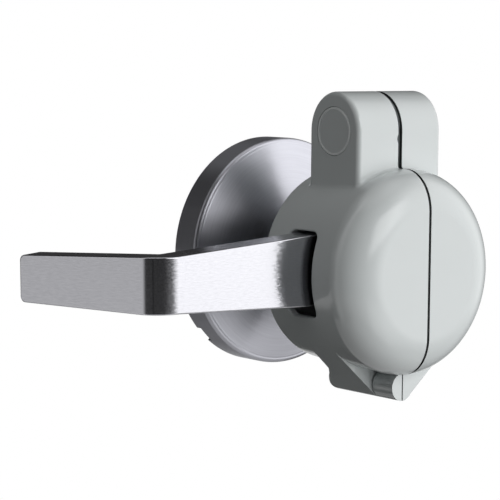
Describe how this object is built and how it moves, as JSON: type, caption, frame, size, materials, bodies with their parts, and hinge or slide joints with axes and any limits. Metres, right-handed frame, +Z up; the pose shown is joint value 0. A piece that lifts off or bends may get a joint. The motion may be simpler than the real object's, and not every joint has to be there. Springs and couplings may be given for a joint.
{
  "type": "door lever lock",
  "caption": "Round two-half clamshell lock, hinged below and latched on top by side buttons, closed over the hub of a satin lever handle on a round rose to hold the lever still.",
  "frame": {"origin": "on the lever's turning axis, in the plane of the door's face", "axes": "+Z up, +Y into the door along the lever's axis, +X to the right as the user sees it; the lever points to -X"},
  "size_m": [0.1564, 0.086, 0.1051],
  "materials": {
    "satin_chrome": "satin",
    "steel": "satin",
    "spring_steel": "satin",
    "grey_plastic": "gloss",
    "latch_plastic": "matte",
    "rubber": "matte"
  },
  "bodies": {
    "base": {"rose": "satin_chrome", "mount_plate": "steel", "bearing_collar": "satin_chrome", "collar_screw_1": "steel", "collar_screw_2": "steel", "collar_screw_3": "steel", "return_spring": "spring_steel", "left_shell": "grey_plastic", "left_grip": "rubber", "hinge_pin": "steel", "left_hook_pin": "steel", "left_spring": "spring_steel"},
    "lever": {"lever": "satin_chrome", "return_cam": "steel", "retaining_ring": "spring_steel"},
    "right_half": {"right_shell": "grey_plastic", "right_grip": "rubber", "right_hook_pin": "steel", "right_spring": "spring_steel"},
    "left_button": {"left_button": "grey_plastic"},
    "right_button": {"right_button": "grey_plastic"},
    "left_hook": {"left_hook": "latch_plastic"},
    "right_hook": {"right_hook": "latch_plastic"}
  },
  "joints": [
    {"name": "lever_turn", "type": "hinge", "parent": "base", "child": "lever", "pos_m": [0, -0.058, 0], "axis": [0, -1, 0], "range_deg": [-1.5, 6], "stiffness_Nm_per_rad": 8, "springref_deg": -1.15, "deforming": ["return_spring"]},
    {"name": "right_half_open", "type": "hinge", "parent": "base", "child": "right_half", "pos_m": [0, -0.059, -0.0415], "axis": [0, 1, 0], "range_deg": [0, 105]},
    {"name": "left_button_press", "type": "slide", "parent": "base", "child": "left_button", "axis": [1, 0, 0], "range_m": [0, 0.0015], "stiffness_N_per_m": 100},
    {"name": "left_hook_turn", "type": "hinge", "parent": "base", "child": "left_hook", "pos_m": [-0.0095, -0.0627, 0.039], "axis": [0, 1, 0], "range_deg": [0, 20], "deforming": ["left_spring"]},
    {"name": "right_button_press", "type": "slide", "parent": "right_half", "child": "right_button", "axis": [-1, 0, 0], "range_m": [0, 0.0015], "stiffness_N_per_m": 100},
    {"name": "right_hook_turn", "type": "hinge", "parent": "right_half", "child": "right_hook", "pos_m": [0.0095, -0.0547, 0.039], "axis": [0, -1, 0], "range_deg": [0, 20], "deforming": ["right_spring"]}
  ],
  "couplings": [
    {"joint": "left_hook_turn", "follows": "left_button_press", "rad_per_m": 160},
    {"joint": "right_hook_turn", "follows": "right_button_press", "rad_per_m": 160}
  ]
}
